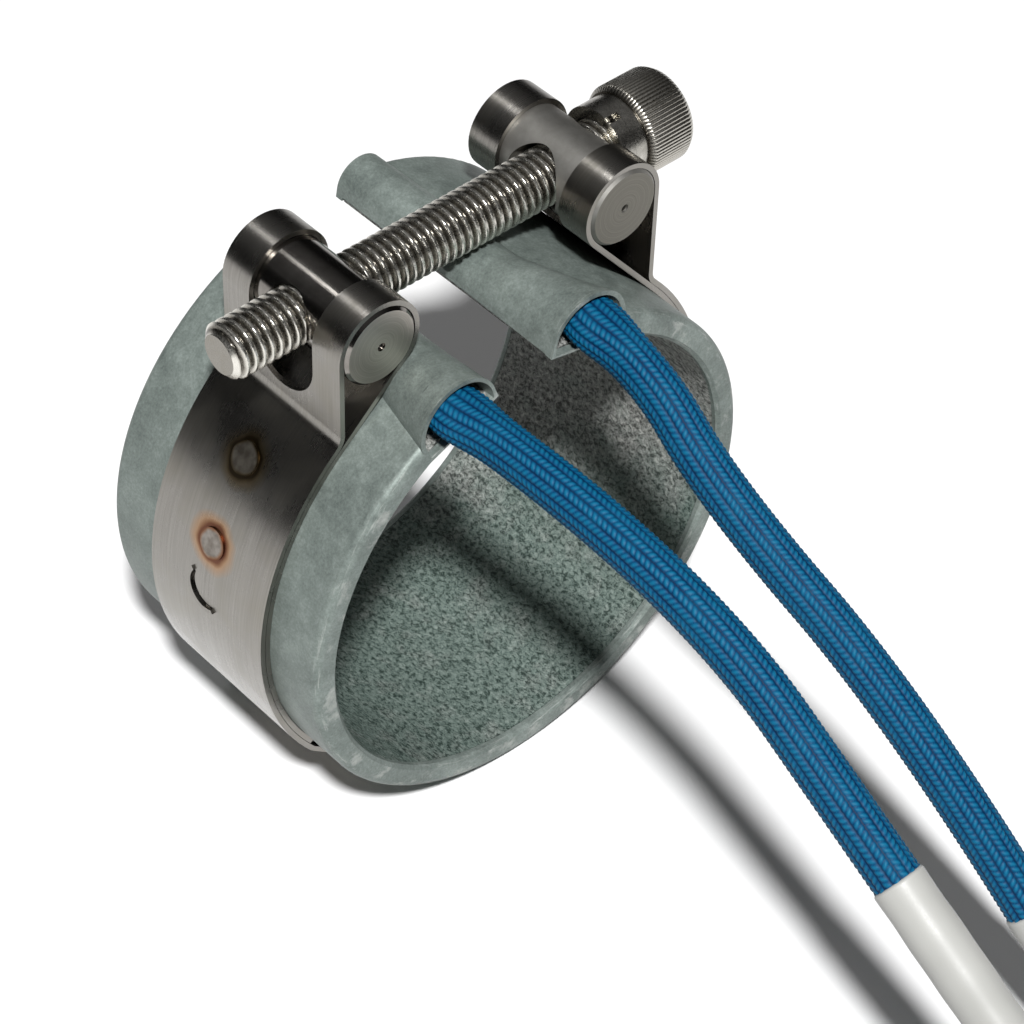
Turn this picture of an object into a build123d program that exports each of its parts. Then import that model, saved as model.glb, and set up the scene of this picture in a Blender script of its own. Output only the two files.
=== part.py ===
from build123d import *
from math import acos, atan2, cos, degrees, hypot, radians, sin, sqrt, tan
import os

os.makedirs("parts", exist_ok=True)

# Sizes in millimetres. The bore runs along Y, the clamp is on top (+Z) and the leads leave to the front (-Y).
# Angles round the ring are measured from the top, positive towards the screw head.
bore_r = 25.4
band_width = 31.75
liner_t = 0.5
skin_t = 0.5
hem_t = 0.9
layer_gap = 0.05
cavity_depth = 1.65
rim_round = 0.9
hem_bevel = 0.4
gap_turn = -5.0
gap_half = 8.3
cut_over = 1.0
touch_gap = 0.02

# Tapered lead hoods at both ends of the casing
# Width and rise above the casing at the mouth, before the strap, behind its loop and at the back rim
hood_widths = (9.2, 7.8, 6.4, 5.6)
hood_rises = (3.6, 1.9, 0.916, 1.3)
hood_lip = 1.0
hood_spring = 0.35
end_step = 5.6
mouth_sink = 0.3
hood_neck_ahead = 0.2
hood_waist_ahead = 0.5

# Heating element layers
mica_t = 0.3
card_t = 0.4
ribbon_t = 0.1
layer_space = 0.12
element_edge = 0.6
element_clear = 1.6
tongue_clear = 1.0
ribbon_turns = 26
ribbon_slot = 1.6
ribbon_edge = 2.2

# Clamp strap, its loops and trunnions
strap_margin = 7.375
strap_t = 0.55
strap_shift = -0.5
strap_slot = 9.2
tail_end = 125.0
tail_gap = 2.0
slot_up = 1.0
bend_r = 2.0
trunnion_r = 4.2
trunnion_proud = 0.25
trunnion_fit = 0.06
trunnion_bevel = 0.3
centre_r = 0.45
centre_depth = 0.25
left_x = -14.2
right_x = 16.4
plain_hole_r = 3.5
tab_angle = -84.0
tab_turn = 42.0
tab_len = 4.4
tab_slit = 0.6
tab_chord = 0.5
tab_lip = 0.45
tab_rise = 0.2
weld_angles = (-73.0, -54.0, 54.0, 73.0)
weld_r = 1.7
weld_rise = 0.15

# Socket head screw M6 and the two lock washers
screw_r = 3.0
screw_clear = 0.2
screw_len = 50.0
thread_pitch = 1.0
thread_depth = 0.55
thread_fit = 0.05
head_r = 5.0
head_len = 6.0
head_bevel = 0.5
head_under = 0.3
socket_flats = 5.0
socket_depth = 3.0
washer_r = 4.3
washer_t = 1.55
washer_split = 0.8
washer_fit = 0.1
split_lean = 20.0

# Leads
lead_aside = 0.1
sleeve_r = 2.5
sleeve_in = 2.5
wire_r = 0.9
wire_fit = 0.1
crimp_len = 2.6
crimp_t = 0.3
crimp_in = 0.4
wire_short = 0.4
tongue_t = 0.3
post_width = 0.9
tongue_width = 1.6
tongue_lap = 2.5
mouth_straight = 6.6
end_sleeve_r = 2.6
pin_r = 0.9
pin_len = 9.0
collar_r = 1.5
collar_len = 3.0
pin_lap = 0.5
left_blue = 64.0
right_blue = 73.0
left_dip = 0.5
corner_share = 0.45

# Corners of the lead routes: across from the mouth, out from the front face, and height as a share of
# the drop from the mouth to the place where the lead comes to rest
left_bends = ((0.1, 26.625, 1.004), (0.6, 58.125, 0.721), (1.1, 84.125, 0.39), (1.6, 105.125, 0.0))
right_bends = ((0.0, mouth_straight, 1.0), (-1.5, 19.125, 0.867), (-0.1, 42.125, 0.614), (2.5, 74.125, 0.076),
               (3.2, 102.125, 0.0))

# Derived sizes
half_w = band_width / 2
liner_r = bore_r + liner_t
cavity_r = liner_r + layer_gap
cavity_top = cavity_r + cavity_depth
case_r = cavity_top + skin_t
tail_r = case_r + layer_gap + strap_t / 2
main_r = tail_r + strap_t + layer_gap
wrap_r = trunnion_r + trunnion_fit + strap_t / 2
trunnion_y = strap_shift
strap_width = band_width - 2 * strap_margin
trunnion_len = strap_width + 2 * trunnion_proud
hood_neck_y = strap_shift - strap_width / 2 - hood_neck_ahead
hood_waist_y = strap_shift - screw_r - hood_waist_ahead
crown_turn = gap_turn + gap_half + degrees(hood_widths[2] / 2 / case_r)
crown_z = (case_r + hood_rises[2]) * cos(radians(crown_turn))
trunnion_z = crown_z + screw_r + screw_clear
lead_ring_r = cavity_r + sleeve_r + layer_gap
floor_z = -(tail_r + strap_t / 2)
element_gap = hood_widths[0] + element_clear
lead_turn = gap_half + degrees((hood_widths[0] / 2 + lead_aside) / case_r)


def ring_point(radius, angle):
    # A point in the XZ plane at a clock angle from the top
    return radius * sin(radians(angle)), radius * cos(radians(angle))


def sector(r_in, r_out, y_low, y_high, start, end):
    # Part of a ring round Y, from one clock angle to a later one
    face = Pos((r_in + r_out) / 2, (y_low + y_high) / 2, 0) * Rectangle(r_out - r_in, y_high - y_low)
    return Rot(0, start - 90, 0) * revolve(face, Axis.Y, end - start)


def band(r_in, r_out, y_low, y_high, end_gap):
    # A C shaped band that stops short of both sides of the gap
    turn = degrees(end_gap / r_in)
    return sector(r_in, r_out, y_low, y_high, gap_turn + gap_half + turn, gap_turn + 360 - gap_half - turn)


def front_plane(y, angle):
    # A plane across the bore axis, its second axis pointing out along the clock angle
    x_dir = (cos(radians(angle)), 0, -sin(radians(angle)))
    return Plane(origin=(0, y, 0), x_dir=x_dir, z_dir=(0, -1, 0))


def hood_section(y, side, width, rise, inset, floor_r, lip):
    # Arch over one end of the casing: it slopes down to a low lip on the gap and stands on the casing beyond
    middle = gap_half + degrees(width / 2 / case_r)
    half = width / 2 - inset
    low, high = floor_r + lip, case_r - hood_spring
    left, right = (low, high) if side > 0 else (high, low)
    top = case_r + rise - inset
    with BuildSketch(front_plane(y, gap_turn + side * middle)) as sketch:
        with BuildLine():
            Polyline((-half, left), (-half, floor_r), (half, floor_r), (half, right))
            ThreePointArc((half, right), (0, top), (-half, left))
        make_face()
    return sketch.sketch.faces()[0]


def hood_size(y):
    # Width and rise of the hood at a station along the band, straight between the stations given
    stations = (-half_w, hood_neck_y, hood_waist_y, half_w)
    i = sum(y >= station for station in stations[1:3])
    share = (y - stations[i]) / (stations[i + 1] - stations[i])
    return [v[i] + share * (v[i + 1] - v[i]) for v in (hood_widths, hood_rises)]


def hood(side, inset, y_front, y_back, floor_r, lip):
    # The hood as a flared tunnel: mouth, neck, waist and back
    faces = []
    for y in (y_front, hood_neck_y, hood_waist_y, y_back):
        width, rise = hood_size(y)
        faces.append(hood_section(y, side, width, rise, inset, floor_r, lip))
    solid = loft(faces[:2], ruled=True)
    for pair in zip(faces[1:], faces[2:]):
        solid += loft(pair, ruled=True)
    return solid


def outer_casing():
    profile = Pos((bore_r + case_r) / 2, 0, 0) * Rectangle(case_r - bore_r, band_width)
    profile = fillet(profile.vertices().group_by(Axis.X)[-1], rim_round)
    profile = chamfer(profile.vertices().group_by(Axis.X)[0], hem_bevel)
    end = gap_half + degrees(end_step / case_r)
    shell = Rot(0, gap_turn + end - 90, 0) * revolve(profile, Axis.Y, 360 - 2 * end)
    for side in (-1, 1):
        shell += hood(side, 0, -half_w, half_w, bore_r, hood_lip)
    inside = half_w - hem_t
    shell -= band(bore_r - cut_over, cavity_r, -inside, inside, -cut_over)
    shell -= band(cavity_r - 2 * layer_gap, cavity_top, -inside, inside, end_step)
    for side in (-1, 1):
        shell -= hood(side, skin_t, -half_w - cut_over, half_w - hem_t, cavity_r - mouth_sink, layer_gap)
        angle = gap_turn + side * lead_turn
        x, z = ring_point(lead_ring_r, angle)
        deep = sleeve_in + layer_gap + cut_over
        pocket = Cylinder(sleeve_r + layer_gap, deep)
        shell -= Pos(x, -half_w - cut_over + deep / 2, z) * Rot(90, 0, 0) * pocket
    return shell


def bore_liner():
    inside = half_w - hem_t - layer_gap
    return band(bore_r, liner_r, -inside, inside, 0.0)


def element_layers():
    # Radial stack inside the casing: mica, card, ribbon, mica
    edge = half_w - hem_t - element_edge
    parts = {}
    r = cavity_r + layer_gap
    parts["inner_mica"] = band(r, r + mica_t, -edge, edge, element_gap)
    r += mica_t + layer_space
    parts["element_card"] = band(r, r + card_t, -edge, edge, element_gap)
    r += card_t + layer_gap
    parts["resistance_ribbon"] = ribbon(r, edge - element_edge)
    r += ribbon_t + layer_space
    parts["outer_mica"] = band(r, r + mica_t, -edge, edge, element_gap + tongue_lap + tongue_clear)
    return parts


def ribbon(r, edge):
    # One zigzag strip: a band slit from alternate edges
    turn = gap_half + degrees(element_gap / cavity_r)
    start = gap_turn + turn
    end = gap_turn + 360 - turn
    strip = sector(r, r + ribbon_t, -edge, edge, start, end)
    step = (end - start) / ribbon_turns
    slit = degrees(ribbon_slot / r)
    cuts = []
    for i in range(1, ribbon_turns):
        middle = start + i * step
        low, high = (-edge - cut_over, edge - ribbon_edge) if i % 2 else (ribbon_edge - edge, edge + cut_over)
        cuts.append(sector(r - cut_over, r + cut_over, low, high, middle - slit / 2, middle + slit / 2))
    return strip - cuts


def ribbon_top():
    return cavity_r + layer_gap + mica_t + layer_space + card_t + layer_gap + ribbon_t


def crimp(side):
    # Barrel on the bare wire end, a post under it and a tongue round to the end of the ribbon
    y_front = -half_w + sleeve_in + crimp_in
    bore = wire_r + layer_gap
    barrel = Rot(90, 0, 0) * Cylinder(bore + crimp_t, crimp_len)
    barrel = Pos(0, y_front + crimp_len / 2, lead_ring_r) * barrel
    foot = ribbon_top() + touch_gap
    y_back = y_front + crimp_len
    height = lead_ring_r - foot
    post = Pos(0, y_back - tongue_width / 2, foot + height / 2) * Box(post_width, tongue_width, height)
    far = gap_half + degrees(element_gap / cavity_r) + degrees(tongue_lap / cavity_r) - lead_turn
    ends = (0, far) if side > 0 else (-far, 0)
    tongue = sector(foot, foot + tongue_t, y_back - tongue_width, y_back, *ends)
    body = barrel + post + tongue
    deep = crimp_len + cut_over
    body -= Pos(0, y_back - wire_short - deep / 2, lead_ring_r) * Rot(90, 0, 0) * Cylinder(bore, deep)
    return Rot(0, gap_turn + side * lead_turn, 0) * body


def bend_point(radius, x_leg, side):
    # Centre of the bend where the strap leaves the ring and stands up along the loop
    x = side * (abs(x_leg) + bend_r)
    return x, sqrt((radius + bend_r) ** 2 - x * x)


def flat_arc(cx, cz, radius, start, end, thick):
    # Thin arc in the XZ plane between two clock angles
    angles = [radians(a) for a in (start, (start + end) / 2, end)]
    big, small = radius + thick / 2, radius - thick / 2
    outer = [(cx + big * sin(a), cz + big * cos(a)) for a in angles]
    inner = [(cx + small * sin(a), cz + small * cos(a)) for a in reversed(angles)]
    with BuildSketch(Plane.XZ) as sketch:
        with BuildLine():
            ThreePointArc(*outer)
            Line(outer[2], inner[0])
            ThreePointArc(*inner)
            Line(inner[2], outer[0])
        make_face()
    return sketch.sketch.faces()[0]


def flat_bar(p, q, thick):
    # Thin straight strip in the XZ plane
    length = hypot(q[0] - p[0], q[1] - p[1])
    nx, nz = -(q[1] - p[1]) / length * thick / 2, (q[0] - p[0]) / length * thick / 2
    with BuildSketch(Plane.XZ) as sketch:
        with BuildLine():
            Polyline((p[0] + nx, p[1] + nz), (q[0] + nx, q[1] + nz), (q[0] - nx, q[1] - nz),
                     (p[0] - nx, p[1] - nz), close=True)
        make_face()
    return sketch.sketch.faces()[0]


def strap_pieces(tx, side):
    # Thin strips of one end of the strap, from the lowest point round the loop to the end of the tail
    leg_x = tx + side * wrap_r
    bx, bz = bend_point(main_r, leg_x, side)
    bend_angle = degrees(atan2(abs(bx), bz))
    step = degrees(acos(tail_r / main_r))
    pieces = []
    high = tail_end + tail_gap
    low = high + step
    pieces.append(flat_arc(0, 0, tail_r, side * low, side * 180, strap_t))
    pieces.append(flat_bar(ring_point(tail_r, side * low), ring_point(main_r, side * high), strap_t))
    pieces.append(flat_arc(0, 0, main_r, side * bend_angle, side * high, strap_t))
    pieces.append(flat_arc(bx, bz, bend_r, side * (180 + bend_angle), side * 270, strap_t))
    pieces.append(flat_bar((leg_x, bz), (leg_x, trunnion_z), strap_t))
    far = hypot(tx, trunnion_z)
    lean = degrees(acos((wrap_r + tail_r) / far))
    toward = degrees(atan2(abs(tx), trunnion_z))
    leave = toward + lean
    wrap_end = leave - 180
    pieces.append(flat_arc(tx, trunnion_z, wrap_r, side * 90, side * wrap_end, strap_t))
    wx, wz = ring_point(wrap_r, side * wrap_end)
    pieces.append(flat_bar((tx + wx, trunnion_z + wz), ring_point(tail_r, side * leave), strap_t))
    pieces.append(flat_arc(0, 0, tail_r, side * leave, side * tail_end, strap_t))
    return pieces


def clamp_strap():
    strips = []
    for tx, side in ((left_x, -1), (right_x, 1)):
        strips += [extrude(face, strap_width / 2, both=True) for face in strap_pieces(tx, side)]
    strap = strips[0].fuse(*strips[1:])
    strap = Pos(0, strap_shift, 0) * strap
    for tx, side in ((left_x, -1), (right_x, 1)):
        strap -= loop_slot(tx, side)
    strap += [spot_weld(angle) for angle in weld_angles]
    return strap - tab_slot() + tab_edge()


def loop_slot(tx, side):
    # Middle window of one loop, round ended on the standing leg
    leg_x = tx + side * wrap_r
    bx, bz = bend_point(main_r, leg_x, side)
    top = trunnion_z + wrap_r + cut_over
    low = bz + slot_up + strap_slot / 2
    box = Pos(tx, strap_shift, (top + low) / 2) * Box(2 * (wrap_r + cut_over), strap_slot, top - low)
    far = tx - side * wrap_r
    low_box = Pos(far, strap_shift, trunnion_z) * Box(wrap_r, strap_slot, 2 * wrap_r)
    round_end = Pos(leg_x, strap_shift, low) * Rot(0, 90, 0) * Cylinder(strap_slot / 2, 2 * cut_over)
    return box + low_box + round_end


def spot_weld(angle):
    # Low round nugget standing out of the strap over one spot weld
    nugget = Pos(0, 0, main_r + weld_rise / 2) * Cylinder(weld_r, strap_t + weld_rise)
    return Pos(0, strap_shift, 0) * Rot(0, angle, 0) * nugget


def on_tab(shape):
    # Sets a shape drawn about the origin at the tab, turned on the strap's face
    x, z = ring_point(main_r, tab_angle)
    return Pos(x, strap_shift, z) * Rot(0, tab_angle, 0) * Rot(0, 0, tab_turn) * shape


def half_moon(radius, low, high):
    # The part of a disc beyond the chord of the tab
    disc = Pos(0, 0, (low + high) / 2) * Cylinder(radius, high - low)
    return disc & Pos(0, tab_chord + tab_len, 0) * Box(2 * tab_len, 2 * tab_len, 2 * tab_len)


def tab_slot():
    # Curved slit along the lanced tab
    inner = Pos(0, -tab_slit, 0) * Cylinder(tab_len / 2, tab_len)
    return on_tab(half_moon(tab_len / 2, -strap_t, strap_t) - inner)


def tab_edge():
    # Raised lip on the outside of the slit
    outer = half_moon(tab_len / 2 + tab_lip, 0, strap_t / 2 + tab_rise)
    return on_tab(outer - Cylinder(tab_len / 2, tab_len))


def trunnion(x, hole_r):
    pin = Rot(90, 0, 0) * Cylinder(trunnion_r, trunnion_len)
    pin = chamfer(pin.edges().filter_by(GeomType.CIRCLE), trunnion_bevel)
    pin -= Rot(0, 90, 0) * Cylinder(hole_r, 4 * trunnion_r)
    for end in (-1, 1):
        pin -= Pos(0, end * trunnion_len / 2, 0) * Rot(90, 0, 0) * Cylinder(centre_r, 2 * centre_depth)
    return Pos(x, trunnion_y, trunnion_z) * pin


def under_head_x():
    return right_x + trunnion_r + 2 * (washer_t + layer_gap)


def thread_shank(x):
    # The thread as turned rings one pitch apart, from the tip to a plain neck under the head
    tip, root = x - screw_len, screw_r - thread_depth
    points = [(tip, 0), (tip, root)]
    for i in range(int(screw_len / thread_pitch) - 1):
        points += [(tip + (i + 0.5) * thread_pitch, screw_r), (tip + (i + 1) * thread_pitch, root)]
    face = make_face(Polyline(*points, (x, root), (x, 0), close=True))
    return revolve(face, Axis.X, 360)


def clamp_screw():
    x = under_head_x()
    head = Pos(x + head_len / 2, 0, 0) * Rot(0, 90, 0) * Cylinder(head_r, head_len)
    head = chamfer(head.edges().group_by(Axis.X)[-1], head_bevel)
    head = chamfer(head.edges().group_by(Axis.X)[0], head_under)
    six = Plane.YZ * RegularPolygon(socket_flats / 2, 6, major_radius=False)
    socket = extrude(six, socket_depth + cut_over)
    head -= Pos(x + head_len - socket_depth, 0, 0) * socket
    return Pos(0, trunnion_y, trunnion_z) * (thread_shank(x) + head)


def lock_washers():
    # Two split washers, their splits half a turn apart
    washers = []
    for i in (0, 1):
        x = right_x + trunnion_r + layer_gap + i * (washer_t + touch_gap)
        ring = Rot(0, 90, 0) * (Cylinder(washer_r, washer_t) - Cylinder(screw_r + washer_fit, 2 * washer_t))
        cut = Rot(split_lean, 0, 0) * Pos(0, 0, washer_r) * Box(2 * washer_t, washer_split, 2 * washer_r)
        ring = Rot(180 * i, 0, 0) * (ring - cut)
        washers.append(Pos(x + washer_t / 2, trunnion_y, trunnion_z) * ring)
    return Compound(washers)


def lead_points(side):
    # Route of one lead, from the back of its crimp to the tip of its pin
    x, z = ring_point(lead_ring_r, gap_turn + side * lead_turn)
    y_in = -half_w + sleeve_in + crimp_in + crimp_len - wire_short - layer_gap
    rest = floor_z + end_sleeve_r - (left_dip if side < 0 else 0)
    bends = left_bends if side < 0 else right_bends
    points = [(x, y_in, z)]
    for aside, out, share in bends:
        points.append((x + aside, -half_w - out, rest + share * (z - rest)))
    return points


def turn_at(a, b, c):
    u, v = Vector(*b) - Vector(*a), Vector(*c) - Vector(*b)
    return radians(u.get_angle(v))


def lead_path(side):
    points = lead_points(side)
    radii = []
    for a, b, c in zip(points, points[1:], points[2:]):
        shorter = min((Vector(*b) - Vector(*a)).length, (Vector(*c) - Vector(*b)).length)
        radii.append(corner_share * shorter / tan(turn_at(a, b, c) / 2))
    print("lead", side, "arc radii", [round(r, 1) for r in radii])
    return FilletPolyline(*points, radius=radii)


def tube_along(path, start, end, r_out, r_in):
    # A round section, or a ring, swept along part of the path between two lengths
    whole = path.length
    piece = path.trim(start / whole, end / whole)
    plane = Plane(origin=piece @ 0, z_dir=piece % 0)
    section = plane * Circle(r_out)
    if r_in:
        section -= plane * Circle(r_in)
    return sweep(section, path=piece)


def lead_pieces(side, name, blue):
    path = lead_path(side)
    whole = path.length
    mouth = crimp_in + crimp_len - wire_short - layer_gap
    blue_end = mouth + blue
    wire_end = whole - pin_len - collar_len
    parts = {}
    inner = wire_r + wire_fit
    parts[name + "_lead_wire"] = tube_along(path, 0, wire_end, wire_r, 0)
    parts[name + "_lead_sleeve"] = tube_along(path, mouth, blue_end, sleeve_r, inner)
    parts[name + "_end_sleeve"] = tube_along(path, blue_end + touch_gap, wire_end, end_sleeve_r, inner)
    collar = tube_along(path, wire_end + touch_gap, wire_end + collar_len, collar_r, 0)
    parts[name + "_pin_ferrule"] = collar + tube_along(path, wire_end + collar_len - pin_lap, whole, pin_r, 0)
    print(name, "lead length outside", round(whole - mouth - sleeve_in, 1))
    return parts


def build():
    parts = {"outer_casing": outer_casing(), "bore_liner": bore_liner()}
    parts.update(element_layers())
    parts["left_crimp"] = crimp(-1)
    parts["right_crimp"] = crimp(1)
    parts["clamp_strap"] = clamp_strap()
    parts["threaded_trunnion"] = trunnion(left_x, screw_r + thread_fit)
    parts["plain_trunnion"] = trunnion(right_x, plain_hole_r)
    parts["clamp_screw"] = clamp_screw()
    parts["lock_washers"] = lock_washers()
    parts.update(lead_pieces(-1, "left", left_blue))
    parts.update(lead_pieces(1, "right", right_blue))
    return parts


for node, shape in build().items():
    export_step(shape, os.path.join("parts", node + ".step"))
    print(node, round(shape.volume, 1), len(shape.solids()))
print("trunnion height", round(trunnion_z, 3), "floor", round(floor_z, 3))
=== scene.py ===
import math

import bpy
import numpy as np
from mathutils import Matrix, Vector


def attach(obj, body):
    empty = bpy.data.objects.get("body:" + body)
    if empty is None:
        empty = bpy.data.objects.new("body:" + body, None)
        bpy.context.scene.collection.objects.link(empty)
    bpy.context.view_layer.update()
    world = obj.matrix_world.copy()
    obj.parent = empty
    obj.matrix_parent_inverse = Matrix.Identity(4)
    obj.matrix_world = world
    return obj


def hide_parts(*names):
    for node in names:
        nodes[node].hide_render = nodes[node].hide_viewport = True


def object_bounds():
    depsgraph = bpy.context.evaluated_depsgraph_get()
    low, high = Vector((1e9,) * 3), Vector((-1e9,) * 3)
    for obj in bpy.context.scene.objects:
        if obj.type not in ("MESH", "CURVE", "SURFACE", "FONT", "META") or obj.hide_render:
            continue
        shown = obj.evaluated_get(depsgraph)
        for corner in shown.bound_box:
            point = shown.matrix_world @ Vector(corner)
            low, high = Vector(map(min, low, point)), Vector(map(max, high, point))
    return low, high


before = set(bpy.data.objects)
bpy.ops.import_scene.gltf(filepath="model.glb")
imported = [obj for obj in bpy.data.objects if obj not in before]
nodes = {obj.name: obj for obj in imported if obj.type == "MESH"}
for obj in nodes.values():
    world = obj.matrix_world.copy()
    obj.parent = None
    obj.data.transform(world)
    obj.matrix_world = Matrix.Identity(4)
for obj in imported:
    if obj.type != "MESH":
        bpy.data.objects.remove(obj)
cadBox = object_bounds()
print("frame loaded with", len(nodes), "nodes")

scene = bpy.context.scene
scene.view_settings.view_transform = "Standard"


# Shapes, in metres. A shell is a grid of rings (rows, columns, 3),
# and each ring runs counter-clockwise about the way the rows go.
def ringFaces(rows, columns, first):
    # Quads between neighbouring rings, and a fan of triangles to a middle point at either end
    index = first + np.arange(rows * columns).reshape(rows, columns)
    turned = np.roll(index, -1, axis=1)
    quads = np.stack([index[:-1], turned[:-1], turned[1:], index[1:]], -1).reshape(-1, 4)
    low = first + rows * columns
    starts = np.stack([np.full(columns, low), turned[0], index[0]], -1)
    ends = np.stack([np.full(columns, low + 1), index[-1], turned[-1]], -1)
    return quads.tolist() + starts.tolist() + ends.tolist()


def addShells(name, shells, heights=None, sharp=40.0, capHeights=(0.25, 0.5)):
    # One mesh from closed shells; heights go into an attribute that the material reads for painted shade and
    # highlight
    points, faces, values, first = [], [], [], 0
    for number, shell in enumerate(shells):
        rows, columns = shell.shape[:2]
        caps = np.stack([shell[0].mean(0), shell[-1].mean(0)])
        points.append(np.concatenate([shell.reshape(-1, 3), caps]))
        faces += ringFaces(rows, columns, first)
        if heights is not None:
            values.append(np.concatenate([heights[number].reshape(-1), capHeights]))
        first += rows * columns + len(caps)
    mesh = bpy.data.meshes.new(name)
    mesh.from_pydata(np.concatenate(points).tolist(), [], faces)
    mesh.polygons.foreach_set("use_smooth", np.ones(len(mesh.polygons), bool))
    if heights is not None:
        layer = mesh.attributes.new("height", "FLOAT", "POINT")
        layer.data.foreach_set("value", np.concatenate(values).astype(np.float32))
    mesh.set_sharp_from_angle(angle=math.radians(sharp))
    mesh.update()
    piece = bpy.data.objects.new(name, mesh)
    scene.collection.objects.link(piece)
    return piece


def lineOf(name, route):
    # The NURBS through the route's control points, read back as points along its length
    data = bpy.data.curves.new(name, "CURVE")
    data.dimensions = "3D"
    data.resolution_u = 80
    spline = data.splines.new("NURBS")
    spline.points.add(len(route) - 1)
    spline.points.foreach_set("co", np.column_stack([route, np.ones(len(route))]).ravel())
    spline.order_u = 3
    spline.use_endpoint_u = True
    curve = bpy.data.objects.new(name, data)
    scene.collection.objects.link(curve)
    bpy.context.view_layer.update()
    mesh = bpy.data.meshes.new_from_object(curve)
    line = np.empty(len(mesh.vertices) * 3)
    mesh.vertices.foreach_get("co", line)
    bpy.data.meshes.remove(mesh)
    bpy.data.objects.remove(curve)
    return line.reshape(-1, 3)


def lengthsOf(line):
    # Length along the line at each of its points
    steps = np.linalg.norm(np.diff(line, axis=0), axis=1)
    return np.concatenate([[0.0], np.cumsum(steps)])


def unit(vectors):
    return vectors / np.linalg.norm(vectors, axis=-1, keepdims=True)


def onLine(line, stations):
    # Centre points and two cross directions at lengths along the line; the first direction keeps to X
    lengths = lengthsOf(line)
    tangents = np.gradient(line, lengths, axis=0)
    centre = np.stack([np.interp(stations, lengths, line[:, k]) for k in range(3)], -1)
    forward = unit(np.stack([np.interp(stations, lengths, tangents[:, k]) for k in range(3)], -1))
    across = np.array([1.0, 0.0, 0.0])
    side = unit(across - (forward @ across)[:, None] * forward)
    return centre, side, np.cross(forward, side)


def tube(line, stations, angles, radius, wide=1.0, tall=1.0):
    # Rings of the given radius (rows, columns) round the line, stretched sideways by wide and upwards by tall
    centre, side, other = onLine(line, stations)
    side, other = side * np.reshape(wide, (-1, 1)), other * np.reshape(tall, (-1, 1))
    ring = np.cos(angles)[None, :, None] * side[:, None] + np.sin(angles)[None, :, None] * other[:, None]
    return centre[:, None] + radius[..., None] * ring


def turns(columns):
    # Angles that share out one full turn
    return np.arange(columns) * 2 * np.pi / columns


def roundTube(line, stations, profile, columns):
    # A tube whose radius changes only along its length
    return tube(line, stations, turns(columns), np.repeat(profile[:, None], columns, axis=1))


# Leads: control points of both routes, near the CAD's and moved to follow the photograph
leads = {
    "left": {
        "route": [(-0.011082, -0.010825, 0.026257), (-0.0094, -0.0425, 0.0276), (-0.0103, -0.074, 0.0113),
                  (-0.0093, -0.1, -0.005986), (-0.0085, -0.121, -0.0266)],
        "blueEnd": 0.06655,  # where the braid ends, along the route
    },
    "right": {
        "route": [(0.006355, -0.010825, 0.027783), (0.006355, -0.022475, 0.027783), (0.0049, -0.035, 0.0202),
                  (0.0076, -0.058, 0.0078), (0.0111, -0.09, -0.022005), (0.0125, -0.118, -0.0261)],
        "blueEnd": 0.07555,
    },
}

# Braided sleeve: rows of beads, pressed wide and low within reach of the casing's mouth
braid = {"start": 0.00255, "radius": 0.0024, "columns": 128, "step": 0.000112, "faceY": -0.015875,
         "depth": 0.0002, "rows": 16, "pitch": 0.0006, "slant": 0.8,
         "rowRound": 0.55, "beadRound": 0.7, "valley": 0.3,
         "mouth": 0.006, "reach": 0.003, "wide": 0.3, "low": 0.1, "pathPoints": 200}


def braidRadius(stations, angles):
    # Rows of slanted beads along the sleeve; neighbouring rows lean opposite ways like the legs of a V
    row = angles[None, :] * braid["rows"] / (2 * np.pi)
    number = np.floor(row)
    across = row - number - 0.5
    lean = np.where(number % 2 == 0, 1.0, -1.0) * braid["slant"]
    phase = stations[:, None] / braid["pitch"] + lean * across + 0.5 * (number % 2)
    bead = np.abs(np.sin(np.pi * phase)) ** braid["beadRound"]
    crown = np.cos(np.pi * across) ** braid["rowRound"]
    height = crown * (braid["valley"] + (1 - braid["valley"]) * bead)
    return braid["radius"] - braid["depth"] * (1 - height), height


def pressed(stations):
    # A bell curve along the sleeve about the casing's mouth, wide and tall factors
    soft = np.exp(-((stations - braid["mouth"]) / braid["reach"]) ** 2)
    return 1 + braid["wide"] * soft, 1 - braid["low"] * soft


def makeBraid(side, spec, line):
    # Rings along the route with the beads as their radius
    angles = turns(braid["columns"])
    stations = np.arange(braid["start"], spec["blueEnd"], braid["step"])
    radius, height = braidRadius(stations, angles)
    shell = tube(line, stations, angles, radius, *pressed(stations))
    return addShells(side + "BraidedSleeve", [shell], [height], sharp=180)


# White sleeve over the end of the braid; edgeClear is in edges, waves are turns in radians a metre
endSleeve = {"radius": 0.0026, "lap": 0.0012, "columns": 48, "rows": 90,
             "edge": 0.00035, "edgeRows": 7, "edgeClear": 1.5,
             "waver": 0.00004, "quickWave": 900, "slowWave": 370, "waveShift": 1}


def makeWhiteSleeve(side, spec, line, wireEnd):
    # A straight wall between two quarter-round edges, and two sines multiplied for its unevenness
    first, edge = spec["blueEnd"] - endSleeve["lap"], endSleeve["edge"]
    clear = edge * endSleeve["edgeClear"]
    quarter = np.linspace(0, np.pi / 2, endSleeve["edgeRows"])
    wall = np.linspace(first + clear, wireEnd - clear, endSleeve["rows"])
    stations = np.concatenate([first + edge * (1 - np.cos(quarter)), wall,
                               wireEnd - edge + edge * np.sin(quarter)])
    rounding = np.concatenate([edge * (1 - np.sin(quarter)), np.zeros(len(wall)), edge * (1 - np.cos(quarter))])
    sines = np.sin(stations * endSleeve["quickWave"])
    sines = sines * np.sin(stations * endSleeve["slowWave"] + endSleeve["waveShift"])
    profile = endSleeve["radius"] - rounding + endSleeve["waver"] * (sines - 1)
    shell = roundTube(line, stations, profile, endSleeve["columns"])
    return addShells(side + "WhiteSleeve", [shell], sharp=60)


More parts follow.
